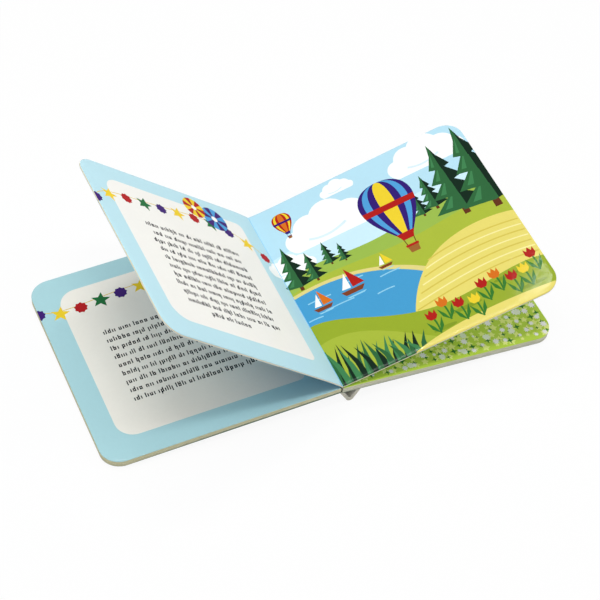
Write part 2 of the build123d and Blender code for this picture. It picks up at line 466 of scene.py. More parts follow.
# Die-cut edge of grey-white page board: plies and fibres lie along the cut, dry and matt, a little darker where
# the knife burnished them
def makeCutBoard(name, paleHex, darkHex):
    material, tree = newMaterial(name)
    along = addNode(tree, "ShaderNodeUVMap", uv_map="sheet")
    plies = noise(tree, along, cutEdge["plies"], 3.0)
    fibres = noise(tree, along, cutEdge["fibres"])
    closeMaterial(tree, "ShaderNodeBsdfPrincipled", {
        "Base Color": mixColours(tree, remap(tree, plies), toLinear(darkHex), toLinear(paleHex)),
        "Roughness": remap(tree, fibres, *cutEdge["roughness"]), "IOR": 1.45,
        "Normal": bump(tree, calculate(tree, "ADD", plies, fibres), *cutEdge["relief"])})
    return material


# A cover of the same grey board. Its cut edge is dry and matt. The printed, laminated outer face shines, and
# its dark print colour also covers the lowest part of the cut edge, in a band that is wider towards the spine.
# Distances are in mm.
coverBoards = {
    # Both covers are the same board: the front cover's cut edge is yellower than the back's, painted warm
    # light.
    "front": {"cut": "#D2CEAA", "cutDark": "#ACA886", "print": "#4C6B54",
              "bandStarts": 140.0, "bandFull": 75.0, "bandLow": 0.4, "bandHigh": 1.4},
    "back": {"cut": "#D3D3BE", "cutDark": "#ADAE98", "print": "#4C6B54",
             "bandStarts": 140.0, "bandFull": 0.0, "bandLow": 0.3, "bandHigh": 0.6},
}


def makeCoverBoard(half):
    material, tree = newMaterial(half + "CoverBoard")
    block, cover = blocks[half], coverBoards[half]
    ragged = 0.1 * mm                  # how far the film's torn edge wanders
    shine, matter = 0.32, 0.5          # roughness of the film, and how much rougher the bare cut is
    spot = addNode(tree, "ShaderNodeTexCoord").outputs["Object"]

    def along(way):
        line = (float(block[way][0]), 0.0, float(block[way][1]))
        dot = addNode(tree, "ShaderNodeVectorMath", {0: spot, 1: line}, operation="DOT_PRODUCT")
        return dot.outputs["Value"]

    height = calculate(tree, "SUBTRACT", along("up"), float(np.dot(block["under"], block["up"])) * mm)
    across = along("run")
    lengthways = addNode(tree, "ShaderNodeSeparateXYZ", {0: spot}).outputs["Y"]
    onCut = addNode(tree, "ShaderNodeCombineXYZ", {"X": across, "Y": lengthways, "Z": height})
    plies = noise(tree, onCut, patches(*cutEdge["coverPlies"]), 3.0)
    fibres = noise(tree, onCut, patches(*cutEdge["coverFibres"]))
    cut = mixColours(tree, remap(tree, plies), toLinear(cover["cutDark"]), toLinear(cover["cut"]))
    nearSpine = remap(tree, calculate(tree, "ABSOLUTE", across),
                      *(cover[key] * mm for key in ("bandLow", "bandHigh", "bandStarts", "bandFull")))
    bandTop = calculate(tree, "MULTIPLY_ADD", fibres, ragged, nearSpine)
    bare = remap(tree, calculate(tree, "SUBTRACT", height, bandTop), start=0.0, stop=ragged)
    closeMaterial(tree, "ShaderNodeBsdfPrincipled", {
        "Base Color": mixColours(tree, bare, toLinear(cover["print"]), cut), "IOR": 1.48,
        "Roughness": calculate(tree, "MULTIPLY_ADD", bare, matter, shine),
        "Normal": bump(tree, calculate(tree, "MULTIPLY", fibres, bare), *cutEdge["relief"])})
    return material


laminatedPrint = makeLaminatedPrint()
# The raised leaves and both stacks are the same page board. Their cut edges get three tints for how each is
# lit: lighter and creamier on the raised leaves, painted light; greyer and darker on the stacks, painted shade,
# with a yellower tint on the front stack, painted warm light.
paintedLitLeafCut = makeCutBoard("paintedLitLeafCut", "#EDE2C6", "#D9CCA8")
paintedShadeFrontCut = makeCutBoard("paintedShadeFrontPagesCut", "#DEDAB4", "#BCB78E")
paintedShadeBackCut = makeCutBoard("paintedShadeBackPagesCut", "#E0DFC6", "#BCBCA2")
cutSpineBoard = makeCutBoard("cutSpineBoard", "#D6D3C4", "#B3AFA0")
for half in ("front", "back"):
    frame["nodes"][half + "_cover"].material_slots[0].material = makeCoverBoard(half)
print("materials for the printed boards and the covers made")

# Inks
inks = {
    # The crease ink is a painted highlight along the gutter fold.
    "white": "#F2F1ED", "border": "#B6DAE4", "paintedCreaseHighlight": "#8ECFF2", "panel": "#EAE9E4", "type": "#121216",
    # The lower page's border and panel inks are darker copies of the raised leaf's border and panel: painted
    # shade for the dimmer light on the lower page.
    "paintedShadeBorder": "#A8D0D6", "paintedShadePanel": "#EAE6DC",
    "sky": "#B0D8E8", "skyLow": "#C4E4F0", "cloud": "#F0F3F2", "cloudShade": "#D2E6EE",
    "farHill": "#94B34A", "midHill": "#A4B43A", "nearHill": "#90A42A", "nearShade": "#7C9322",
    "nearLight": "#A0B139", "lake": "#4296C6", "lakePale": "#8AC6E0", "shore": "#D8CC7E", "hull": "#7A3C20",
    "wheat": "#DED16C", "furrow": "#CDBB50", "ear": "#ECE39A",
    "fir": "#2C6238", "firDark": "#0C2618", "firLight": "#3C7C4C", "trunk": "#5E3018",
    "red": "#AA1A14", "orange": "#D06C1A", "stem": "#32742A",
    "violet": "#30186E", "violetPale": "#4C98D0", "yellow": "#E4C82E", "basket": "#96602C",
    "purple": "#3C1C6E", "garlandRed": "#AA181C", "garlandGreen": "#1A6836", "garlandYellow": "#E6C62C",
    "string": "#D6BA44", "sea": "#5AA6C8", "lagoon": "#B4DCE8", "headland": "#4AA2C8",
    "headlandShade": "#3A8CB4", "snow": "#DCEAF0", "snowShade": "#B8D8E6",
    "meadow": "#86A82C", "meadowLit": "#BCD84C", "meadowDark": "#3A7E30", "meadowPale": "#E6F08C",
    "daisyPale": "#E8EFD4", "spinePrint": "#C9CBC4", "spineLining": "#E0DDD2",
}
ticksOfType = textTree(laminatedPrint)
shapesOnString = stringTree(laminatedPrint)
strewnFlowers = meadowTree(laminatedPrint)

# A text page's panel and its string of pom-poms and stars
panel = {"gutterEdge": 16.0, "foreEdge": 137.0, "bottom": -60.5, "top": 62.0, "outerRadius": 12.0,
         "innerRadius": 5.0}
garland = {
    "stringWidth": 0.55,
    "count": 11,
    "drop": -2.2,
    "shapes": (("purple", 9, 3.7, 4.5), ("garlandYellow", 5, 2.7, 6.4), ("garlandRed", 9, 3.7, 4.5),
               ("garlandGreen", 5, 2.9, 6.4)),         # ink, points, inner and outer radius
}
pinwheel = {"blades": 12, "hub": 0.24}


# A left-hand page of type: a panel with round corners, rows of type, a string with its shapes, and pinwheels
def textPage(text, string, pinwheels, panelInk="panel"):
    shapes = [(roundedBox(-panel["foreEdge"], panel["bottom"], -panel["gutterEdge"], panel["top"],
                          panel["outerRadius"], panel["innerRadius"]), panelInk)]
    slots = int(text["width"] / text["step"])
    shapes += [(outline, "type") for outline in outlinesFrom(ticksOfType, dict(text, slots=slots))]
    shapes.append((stroke(string, garland["stringWidth"]), "string"))
    path = smoothLine(string, 60)
    for phase, (ink, points, inner, outer) in enumerate(garland["shapes"]):
        shapes += [(outline, ink) for outline in outlinesFrom(shapesOnString, {
            "count": garland["count"], "every": len(garland["shapes"]), "phase": phase, "points": points,
            "inner": inner, "outer": outer, "drop": garland["drop"]}, path)]
    for x, y, radius, *bladeInks in pinwheels:
        for blade in range(pinwheel["blades"]):
            turn = 360 / pinwheel["blades"]
            tip = arc(x, y, radius, radius, blade * turn, blade * turn + turn, steps=4)
            shapes.append(([(x, y)] + tip, bladeInks[1 - blade % 2]))
        shapes.append((arc(x, y, radius * pinwheel["hub"], radius * pinwheel["hub"], steps=14), "white"))
    return shapes


def cloud(x, y, size):
    lobes = ((-17, 0, 6.5), (-9, 4.5, 8.5), (2, 7, 10), (12, 3, 8.5), (19, -0.5, 5.5))
    (left, bottom), (right, top) = stretched([(-22, -6.5), (23.5, 2)], x, y, size, size)
    shade = stretched([(-12, -1.5), (-3, -5.5), (8, -0.5)], x, y, size, size)
    shapes = [(arc(x + dx * size, y + dy * size, r * size, r * size, steps=24), "cloud")
              for dx, dy, r in lobes]
    return shapes + [(roundedBox(left, bottom, right, top, 3.5 * size, 3.5 * size), "cloud"),
                     (stroke(shade, 1.3 * size, 12), "cloudShade")]


def sailboat(x, y, size, ink):
    parts = (([(-6.5, 0), (6.8, 0), (4.4, -2.8), (-4.6, -2.8)], "hull"),
             ([(0.5, 1), (0.5, 13.5), (7.2, 1.4)], ink), ([(-0.5, 1), (-0.5, 11), (-5.2, 1.4)], "white"),
             ([(-5, -4), (6, -4), (4.6, -4.9), (-3.6, -4.9)], "lakePale"))
    return [(stretched(points, x, y, size, size), partInk) for points, partInk in parts]


# Pale strokes on water, each at x, y and so long
def glints(ink, rise, width, steps, *places):
    return [(stroke([(x - long / 2, y), (x, y + rise), (x + long / 2, y)], width, steps), ink)
            for x, y, long in places]


# A hot-air balloon: gores that narrow to the mouth, belts round the middle and the mouth, a basket on two cords
def hotAirBalloon(x, y, wide, high, goreInks, beltInk):
    rim = [(0, 1), (1.4, 1), (1.22, -0.4), (0.3, -0.85), (0.2, -1.3)]
    rimSteps, belts = 30, ((12, 15), (25, 30))
    edge = smoothLine(stretched(rim, 0, 0, wide, high), rimSteps)
    foot = y + high * rim[-1][1]

    def gore(share, start=0, stop=rimSteps):
        side = [(px * share, py) for px, py in edge[start:stop]]
        return [(x - px, y + py) for px, py in side] + [(x + px, y + py) for px, py in side[::-1]]

    def hung(points):
        return stretched(points, x, foot, wide, high)

    shapes = [(gore(share), ink) for share, ink in zip((1.0, 0.8, 0.55, 0.28), goreInks)]
    shapes += [(gore(1.0, *belt), beltInk) for belt in belts]
    for side in (-1, 1):
        cord = hung([(side * 0.18, 0), (side * 0.16, -0.12), (side * 0.15, -0.26)])
        shapes.append((stroke(cord, 0.03 * wide, 4), "trunk"))
    return shapes + [(hung([(-0.2, -0.24), (0.2, -0.24), (0.16, -0.5), (-0.16, -0.5)]), "basket"),
                     (hung([(-0.23, -0.2), (0.23, -0.2), (0.22, -0.28), (-0.22, -0.28)]), beltInk)]


# Firs, each at x on its foot and so high: a trunk and four tiers, lit from the left
def firs(*places):
    trunk = [(-0.035, 0), (0.035, 0), (0.03, 0.2), (-0.03, 0.2)]
    tierParts = (([(-1, 0), (-0.5, -0.02), (0, -0.045), (0.5, -0.02), (1, 0), (0.3, 0.17), (0, 0.33),
                   (-0.3, 0.17)], "fir"),
                 ([(0.12, -0.04), (0.5, -0.02), (1, 0), (0.3, 0.17), (0.1, 0.28)], "firDark"),
                 ([(-0.62, 0.03), (-0.36, 0.02), (-0.1, 0.2)], "firLight"))
    shapes = []
    for x, foot, high in places:
        shapes.append((stretched(trunk, x, foot, high, high), "trunk"))
        for tier in range(4):
            base, half = foot + high * (0.12 + tier * 0.19), high * 0.3 * (1 - tier * 0.2)
            shapes += [(stretched(points, x, base, half, high), ink) for points, ink in tierParts]
    return shapes


def tulip(x, y, size, ink):
    def grown(*points):
        return stretched(points, x, y, size, size)

    shapes = [(stroke(grown((0, -9), (0.8, -4), (0, 0)), 0.8 * size, 6), "stem")]
    for lean in (-1, 1):
        shapes.append((grown((0, -9), (lean * 2.6, -6), (lean * 3.4, -1.5), (lean * 1.2, -5)), "stem"))
    return shapes + [(grown((-2.2, 3.2), (-2.4, 0), (-1.2, -1.6), (1.2, -1.6), (2.4, 0), (2.2, 3.2), (1.1, 1.6),
                            (0, 3.7), (-1.1, 1.6)), ink)]


# The picture on the raised back leaf: sky, hills, a lake with boats, a wheat field, firs, tulips and balloons
def countryPicture():
    shapes = land("skyLow", (-1, 34), (40, 44), (90, 26), (pastEdge, 40))
    shapes += cloud(44, 40, 1.35) + cloud(122, 58, 1.15) + cloud(7, 22, 0.75) + cloud(60, 66, 0.5)
    shapes += land("farHill", (-1, 8), (20, 30), (48, 14), (70, 0), (96, 30), (128, 28), (pastEdge, 14))
    shapes += firs((101, 15, 22), (111, 16, 30), (33, 12, 20), (42, 10, 16))
    shapes += land("midHill", (-1, 2), (26, 14), (60, 4), (88, -6), (120, 16), (pastEdge, 6))
    shapes += firs((8, 3, 38), (20, 5, 25))
    shapes += land("shore", (-1, 1), (24, 6), (52, 2), (80, -10), (96, -30), (104, -44))
    shapes += land("lake", (-1, -1.5), (24, 3.5), (50, -0.5), (76, -12), (90, -30), (98, -44))
    shapes += glints("lakePale", 0.7, 0.9, 8, (14, -9, 16), (40, -6, 12), (62, -13, 14), (24, -19, 20),
                     (54, -24, 12), (6, -22, 10))
    for x, y, size, ink in ((36, -12, 1.25, "red"), (14, -15, 1.0, "orange"), (62, -6, 0.75, "yellow")):
        shapes += sailboat(x, y, size, ink)
    shapes += firs((126, 3, 62), (146, -2, 72))
    shapes += land("wheat", (58, -60), (76, -12), (100, -6), (128, -2), (pastEdge, -10))
    for i in range(7):
        dip = i * 5.2
        row = [(87 - i * 3.8, -17 - dip), (100, -13 - dip * 0.95), (126, -12 - dip * 0.9),
               (151, -17 - dip * 0.9)]
        shapes.append((stroke(row, 1.0), "ear" if i % 2 else "furrow"))
    shapes += land("nearHill", (-1, -26), (20, -22), (44, -44), (66, -60), (92, -58), (124, -42),
                   (pastEdge, -50))
    shapes += land("nearLight", (-1, -42), (26, -34), (50, -60), (70, -74))
    for x, y, long in ((92, -61, 22), (124, -53, 18), (136, -66, 20), (74, -68, 16)):
        shapes.append((arc(x, y, long / 2, 1.5, steps=20), "nearShade"))
    for i in range(25):
        x, lean = 0.5 + i * 2.3, 6.5 * math.sin(i * 2.4)
        high = (24 + 13 * abs(math.sin(i * 1.9 + 0.6))) * (1 - i / 44)
        blade = [(x - 2.3, -80), (x + 2.3, -80), (x + 1.6 + lean * 0.3, -78 + high * 0.5),
                 (x + lean, -78 + high), (x - 1.5 + lean * 0.25, -78 + high * 0.45)]
        shapes.append((blade, ("fir", "firDark", "firLight")[i % 3]))
    shapes += land("wheat", (36, -82), (58, -68), (104, -66), (pastEdge, -71))
    for i, x in enumerate((70, 80, 89, 99, 108, 118, 127, 136, 145)):
        y = -57 + 5 * math.sin(i * 1.7) + (x - 70) * 0.1
        shapes += tulip(x, y, 1.5, ("red", "orange", "red", "yellow")[i % 4])
    return shapes + (hotAirBalloon(84, 34, 19.5, 22.5, ("violet", "violetPale", "violet", "yellow"), "red")
                     + hotAirBalloon(18, 60, 6.8, 8.0, ("red", "yellow", "red", "orange"), "violet"))


# The picture on the lower right page: a meadow full of daisies
def meadowPicture():
    # The strip along the foot of the page, where light gets past the raised leaf, is a lighter green, painted
    # light; the darker meadow ground above it, under the leaf, is painted shade.
    shapes = land("meadowLit", (-1, -20), (40, 2), (90, -44), (pastEdge, -26))
    field = {"centre": (76.0, 0.0, 0.0), "width": 146.0, "depth": 146.0}
    for seed, spacing, points, inner, outer, ink in (
            (5, 4.4, 5, 1.3, 2.5, "meadowPale"), (3, 5.6, 4, 0.8, 2.3, "meadowDark"),
            (8, 6.4, 8, 1.2, 2.2, "white"), (11, 13.0, 9, 1.6, 2.3, "daisyPale")):
        strewn = dict(field, spacing=spacing, points=points, inner=inner, outer=outer, seed=seed)
        shapes += [(outline, ink) for outline in outlinesFrom(strewnFlowers, strewn)]
    return shapes


# The picture on the underside of the raised front leaf: a calm sea and a snowy shore
def winterPicture():
    shapes = cloud(44, 58, 1.0) + cloud(112, 54, 1.1)
    shapes += land("sea", (-1, 36), (50, 36), (100, 36), (pastEdge, 36))
    for ink, heights in (("lagoon", (16, 24, 12, 22)), ("cloud", (-44, -30, -48, -36)),
                         ("snowShade", (-47, -33, -51, -39)), ("snow", (-54, -40, -58, -46))):
        shapes += land(ink, *zip((-1, 40, 90, pastEdge), heights))
    shapes += glints("cloud", 1.2, 1.3, 10, (84, -4, 34), (128, 4, 22), (112, -24, 26))
    for ink, line in (("headland", [(58, -pastFoot), (64, -40), (44, 20), (44, 44), (10, 58), (-1, 50)]),
                      ("headlandShade", [(34, -pastFoot), (36, -60), (30, -20), (26, 10), (6, 26), (-1, 20)])):
        shapes.append((smoothLine(line) + [(-1, -pastFoot)], ink))
    return shapes + sailboat(92, 28, 1.6, "orange") + sailboat(96, -14, 2.4, "red")


def mirrored(shapes):
    return [([(-x, y) for x, y in points], ink) for points, ink in shapes]


# Boards
board = {
    "roll": 0.4,               # radius pressed on the open edges by the die; the print goes round it
    "rims": (0.12, 0.42, 1.0),             # shares of the roll's depth where it is cut into steps
    "spineRound": 1.2,
    "partingWidth": 0.14,
    "partingDepth": 0.7,
    "partingLip": 1e-4,
    "cutLevels": (0.7, 1.1),               # rings round a thick cut edge, from both faces
    "curlReach": 3.2,          # the die also bends the printed face down this far from its edge
    "curlDepth": 0.14,
    "curlRings": (0.8, 1.7, 2.6, 3.6),
    "rows": [float(y) for y in range(-60, 61, 12)],
    "cornerRows": [-70.0, 70.0],
    "overshoot": 5.0,          # the cuts through a face's triangles start this far outside it
    "sharpAngle": 35,
}
mapUnit = 100.0                # mm of board for one unit of its flat map
edgeStations = [float(x) for x in range(30, 133, 17)]
rootStations = [0.02] + [1.5 * i for i in range(1, 13)]
plans = {
    "spread": {"low": -book["pageWidth"], "high": book["pageWidth"],
               "stations": sorted([0.0] + [s * x for s in (-1, 1) for x in rootStations + edgeStations])},
    "front": {"low": -book["pageWidth"], "high": 0.0, "stations": sorted(-x for x in [10.0] + edgeStations)},
    "back": {"low": 0.0, "high": book["pageWidth"], "stations": [10.0] + edgeStations},
}


# How far a rounded edge stands back at a depth, for a board of some thickness
def standBack(depth, thickness, radius):
    near = min(depth, thickness - depth)
    return 0.0 if near >= radius else radius - math.sqrt(radius ** 2 - (radius - near) ** 2)


# A board's outline, counter-clockwise; the open edges and the spine edge at 0 stand back by their own distances
def boardOutline(plan, openInset, spineInset):
    low = plan["low"] + (openInset if plan["low"] else spineInset)
    high = plan["high"] - (openInset if plan["high"] else spineInset)
    half, radius = book["pageHeight"] / 2 - openInset, book["cornerRadius"] - openInset

    def corner(x, y, start, rounded):
        inX, inY = x - math.copysign(radius, x - (low + high) / 2), y - math.copysign(radius, y)
        return arc(inX, inY, radius, radius, start, start + 90, steps=11) if rounded else [(x, y)]

    points = corner(low, -half, 180, plan["low"]) + [(x, -half) for x in plan["stations"]]
    points += corner(high, -half, 270, plan["high"]) + [(high, y) for y in board["rows"]]
    points += corner(high, half, 0, plan["high"]) + [(x, half) for x in plan["stations"][::-1]]
    return points + corner(low, half, 90, plan["low"]) + [(low, y) for y in board["rows"][::-1]]


# For each spot and each side of an outline: the spot's distance, and how far along the side it is nearest
def fromOutline(flat, outline):
    starts = np.array(outline)
    runs = np.roll(starts, -1, axis=0) - starts
    offset = flat[:, None] - starts
    share = np.clip((offset * runs).sum(2) / np.maximum((runs * runs).sum(1), 1e-12), 0, 1)
    return np.linalg.norm(offset - runs * share[:, :, None], axis=2), share


# One printed face as flat triangles, each with the ink of the top shape over it. The curl is how far the die
# has bent the face down at each spot. The ring holds the boundary in order round the outline.
def printedSheet(plan, openInset, spineInset, ground, shapes):
    outline = boardOutline(plan, openInset, spineInset)
    coords, edges, faces, colours = [], [], [], []

    def addFace(points, ink):
        area = sum(a[0] * b[1] - b[0] * a[1] for a, b in zip(points, points[1:] + points[:1]))
        first = len(coords)
        coords.extend(Vector(p) for p in (points if area > 0 else points[::-1]))
        faces.append(list(range(first, len(coords))))
        colours.append(toLinear(inks[ink]))

    def addEdge(a, b):
        edges.append((len(coords), len(coords) + 1))
        coords.extend((Vector(a), Vector(b)))

    addFace(outline, ground)
    for points, ink in shapes:
        addFace(points, ink)
    past = board["overshoot"]
    reach = book["pageHeight"] / 2 + past
    for x in plan["stations"]:
        addEdge((x, -reach), (x, reach))
    for y in board["rows"] + board["cornerRows"]:
        addEdge((plan["low"] - past, y), (plan["high"] + past, y))
    for inward in board["curlRings"]:
        ring = boardOutline(plan, openInset + inward, spineInset + inward)
        for a, b in zip(ring, ring[1:] + ring[:1]):
            addEdge(a, b)
    spots, _, triangles, _, _, owners = delaunay_2d_cdt(coords, edges, faces, 1, 1e-4, True)
    kept = [(tri, colours[max(own)]) for tri, own in zip(triangles, owners) if 0 in own]
    used = sorted({i for tri, _ in kept for i in tri})
    number = {old: new for new, old in enumerate(used)}
    flat = np.array([(spots[i].x, spots[i].y) for i in used])
    kept = [([number[i] for i in tri], colour) for tri, colour in kept]
    distance, share = fromOutline(flat, outline)
    return {"spots": flat, "triangles": kept, "ring": boundaryRing(kept, distance, share),
            "curl": board["curlDepth"] * np.clip(1 - distance.min(1) / board["curlReach"], 0, 1) ** 2}


# A sheet's boundary vertices round the outline: (place on the outline, vertex, ink beside the next edge)
def boundaryRing(inkedTriangles, distance, share):
    owner = {}
    for tri, colour in inkedTriangles:
        for a, b in zip(tri, tri[1:] + tri[:1]):
            owner[(a, b)] = colour
    ring = []
    for (vertex, after), colour in owner.items():
        if (after, vertex) not in owner:
            nearest = int(np.argmin(distance[vertex]))
            place = round(nearest + float(share[vertex, nearest]), 6) % distance.shape[1]
            ring.append((place, vertex, colour))
    return sorted(ring, key=lambda item: item[0])


# Points at places round an outline; place 3.5 is halfway between points 3 and 4
def roundOutline(outline, places):
    starts = np.array(outline)
    ends = np.roll(starts, -1, axis=0)
    whole = np.floor(places).astype(int)
    share = (np.array(places) - whole)[:, None]
    return starts[whole] * (1 - share) + ends[whole] * share


# A closed board: two printed faces whose print turns over the rims, and a bare cut edge with parting lines
def makeBoard(name, plan, thickness, place, cutBoard, top, under, partings, spineRound):
    def insets(depth):
        return standBack(depth, thickness, board["roll"]), standBack(depth, thickness, spineRound)

    sheets = [printedSheet(plan, *insets(0.0), ground, shapes)
              for ground, shapes in (top, (under[0], mirrored(under[1])))]
    spots, depths, skin = [], [], []
    around = np.array(boardOutline(plan, 0.0, 0.0))
    count = len(around)
    sides = np.linalg.norm(np.roll(around, -1, axis=0) - around, axis=1)
    marks, runs = np.arange(count + 1), np.concatenate([[0.0], np.cumsum(sides)])

    def addSpots(points, depth):
        first = len(depths)
        spots.extend(map(tuple, points))
        depths.extend(np.broadcast_to(depth, len(points)).tolist())
        return first

    # A ring is a list of (place on the outline, vertex, ink of the stretch after it)
    def addRing(places, inksAfter, depth, *inset):
        first = addSpots(roundOutline(boardOutline(plan, *inset), places), depth)
        return [(place, first + i, ink) for i, (place, ink) in enumerate(zip(places, inksAfter))]

    def addWall(corners, colour, slot):
        skin.append(([vertex for _, vertex in corners], colour, slot,
                     [(float(np.interp(at, marks, runs)) / mapUnit, -depths[vertex] / mapUnit)
                      for at, vertex in corners]))

    # The wall between two rings, upper first: quads where they match, and triangles by turns where they don't
    def joinRings(upper, lower, printed):
        ahead = [[(at, vertex) for at, vertex, _ in ring] + [(ring[0][0] + count, ring[0][1])]
                 for ring in (upper, lower)]
        i = j = 0
        while i < len(upper) or j < len(lower):
            a, b = ahead[0][i], ahead[1][j]
            colour = upper[min(i, len(upper) - 1)][2] if printed else toLinear(inks["white"])
            over, below = ahead[0][i + 1:i + 2], ahead[1][j + 1:j + 2]
            stepUpper = bool(over) and (not below or over[0][0] <= below[0][0] + 1e-9)
            stepLower = bool(below) and (not over or below[0][0] <= over[0][0] + 1e-9)
            addWall([a, b] + below * stepLower + over * stepUpper, colour, 0 if printed else 1)
            i, j = i + stepUpper, j + stepLower

    ends = []
    for sheet, flipped in zip(sheets, (False, True)):
        first = addSpots(sheet["spots"], thickness if flipped else sheet["curl"])
        for tri, colour in sheet["triangles"]:
            corners = tri[::-1] if flipped else tri
            skin.append(([first + i for i in corners], colour, 0, sheet["spots"][corners] / mapUnit))
        ring = [(at, first + vertex, colour) for at, vertex, colour in sheet["ring"]]
        for rim in (board["roll"] * share for share in board["rims"]):
            depth = thickness - rim if flipped else board["curlDepth"] + rim
            inner = addRing([item[0] for item in ring], [item[2] for item in ring], depth, *insets(rim))
            joinRings(*((inner, ring) if flipped else (ring, inner)), True)
            ring = inner
        ends.append(ring)
    cuts = [thickness / 2]
    if partings:
        cuts = [depth for level in board["cutLevels"] for depth in (level, thickness - level)]
    levels = [(depth, *insets(depth)) for depth in cuts]
    gap, deep, lip = board["partingWidth"] / 2, board["partingDepth"], board["partingLip"]
    for depth in partings:
        levels += [(depth - gap, 0.0, 0.0), (depth - gap + lip, deep, deep), (depth + gap - lip, deep, deep),
                   (depth + gap, 0.0, 0.0)]
    upper = ends[0]
    for depth, openInset, spineInset in sorted(levels):
        lower = addRing(list(range(count)), [None] * count, depth, openInset, spineInset)
        joinRings(upper, lower, False)
        upper = lower
    joinRings(upper, ends[1], False)
    flat = np.array(spots)
    verts = place(flat[:, 0], flat[:, 1], np.array(depths)) * mm
    return meshPiece(name, verts, skin, (laminatedPrint, cutBoard))


# A mesh object with an ink on every corner, a flat map of the sheet, and sharp edges where the board turns. The
# skin lists each face's vertices, its ink, the slot of its material, and where its corners are on the flat map.
def meshPiece(name, verts, skin, materials):
    faces, colours, slots, flatPlaces = zip(*skin)
    mesh = bpy.data.meshes.new(name)
    mesh.from_pydata([tuple(v) for v in verts], [], faces)
    for material in materials:
        mesh.materials.append(material)
    mesh.polygons.foreach_set("material_index", slots)
    mesh.polygons.foreach_set("use_smooth", [True] * len(faces))
    flatMap = mesh.uv_layers.new(name="sheet")
    flatMap.data.foreach_set("uv", np.array([uv for at in flatPlaces for uv in at], np.float32).ravel())
    ink = mesh.color_attributes.new("ink", "FLOAT_COLOR", "CORNER")
    onCorners = [colour for face, colour in zip(faces, colours) for _ in face]
    ink.data.foreach_set("color", np.array(onCorners, np.float32).ravel())
    mesh.set_sharp_from_angle(angle=math.radians(board["sharpAngle"]))
    mesh.update()
    print(f"{name}: {len(mesh.polygons)} faces")
    return addObject(name, mesh)


# The raised spread: a page of type on the front leaf, the picture on the back leaf
leafType = {"lines": 11, "left": -119.0, "width": 87.0, "top": 26.5, "pitch": 7.3, "step": 1.56, "stem": 0.9,
            "height": 2.6, "raggedStart": 0.05, "raggedEnd": 0.06, "lastStart": 0.2, "lastEnd": 0.36,
            "seed": 4}
lowerType = {"lines": 9, "left": -119.0, "width": 100.0, "top": 20.7, "pitch": 7.0, "step": 1.42,
             "stem": 0.72, "height": 2.45, "raggedStart": 0.0, "raggedEnd": 0.2, "lastStart": 0.0,
             "lastEnd": 0.1, "seed": 21}
underType = {**lowerType, "lines": 10, "left": -118.0, "width": 90.0, "top": 26.0, "pitch": 7.2,
             "raggedEnd": 0.15, "lastEnd": 0.5, "seed": 33}
leafString = [(-152, 40), (-132, 60), (-96, 34), (-62, 66), (-34, 56), (-8, 36)]
lowerString = [(-152, 52), (-128, 38), (-96, 66), (-52, 38), (-18, 62)]
leafPinwheels = [(-42, 58, 10.5, "purple", "violetPale"), (-58, 63, 9.0, "garlandRed", "garlandYellow")]
lowerPinwheels = [(-66, 58, 10.5, "garlandYellow", "orange"), (-50, 53, 9.0, "purple", "violetPale")]

leftHalf = [([(-156.0, -pastFoot), (0.0, -pastFoot), (0.0, pastFoot), (-156.0, pastFoot)], "border")]
# A painted highlight: a lighter, bluer ink along the gutter crease, where the fold catches the light
paintedCreaseHighlight = [([(-1.3, -pastFoot), (0.0, -pastFoot), (0.0, pastFoot), (-0.7, pastFoot)], "paintedCreaseHighlight")]
spreadShapes = leftHalf + textPage(leafType, leafString, leafPinwheels) + countryPicture() + paintedCreaseHighlight
underShapes = leftHalf + textPage(underType, lowerString, []) + winterPicture()
raisedPages = makeBoard("raisedPages", plans["spread"], book["leaf"], onSpread, paintedLitLeafCut,
                        ("sky", spreadShapes), ("sky", underShapes), [], board["roll"])


# The leaves that lie on one cover
def makeStack(half, cutBoard, ground, shapes):
    thickness = book["leaf"] * book["leavesInStack"]
    return makeBoard(half + "Pages", plans[half], thickness, onStack(half), cutBoard, (ground, shapes),
                     ("white", []), [book["leaf"]], board["spineRound"])


# The front stack's page is printed in the darker copies of the border and panel inks, painted shade.
frontPages = makeStack("front", paintedShadeFrontCut, "paintedShadeBorder",
                       textPage(lowerType, lowerString, lowerPinwheels, "paintedShadePanel"))
backPages = makeStack("back", paintedShadeBackCut, "meadow", meadowPicture())
for piece, node, body in ((raisedPages, "raised_pages", "book"), (frontPages, "front_pages", "front"),
                          (backPages, "back_pages", "back")):
    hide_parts(node)
    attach(piece, body)

# The spine strip, in two halves that meet at the bottom of its V and each reach up to their own cover
strip = {
    "thickness": 2.0,
    "bendRadius": 2.6,
    "bendPlace": 6.1,
    "tuck": {"front": 0.5, "back": 12.6},      # where each arm meets its cover, from the cover's spine end
    "clearance": 0.02,
    "armSteps": 8,
    "bendSteps": 8,
    "lengthSteps": 10,
}


# Outer and inner lines of one arm in section, from the bottom of the V to its cover
def armLines(half):
    centre = np.array([gutter[0] + strip["bendPlace"], strip["bendRadius"]])
    block = blocks[half]
    meets = block["under"] + block["run"] * strip["tuck"][half] - block["up"] * strip["clearance"]
    reach = meets - centre
    lean = math.acos(strip["bendRadius"] / np.linalg.norm(reach))
    facing = math.atan2(reach[1], reach[0]) + (lean - 2 * math.pi if half == "front" else -lean)
    turns = np.linspace(-math.pi / 2, facing, strip["bendSteps"] + 1)
    rays = [np.array([math.cos(turn), math.sin(turn)]) for turn in turns]
    outer = [centre + ray * strip["bendRadius"] for ray in rays]
    inner = [centre + ray * (strip["bendRadius"] - strip["thickness"]) for ray in rays]
    way = (meets - outer[-1]) / np.linalg.norm(meets - outer[-1])
    above = blocks["back"]            # the inner line of both arms ends below the back cover
    lid = above["under"] - above["up"] * strip["clearance"]
    innerEnd = inner[-1] + way * np.dot(lid - inner[-1], above["up"]) / np.dot(way, above["up"])
    for line, end in ((outer, meets), (inner, innerEnd)):
        touch = line[-1]
        line += [touch + (end - touch) * share for share in np.linspace(0, 1, strip["armSteps"] + 1)[1:]]
    return outer, inner, meets


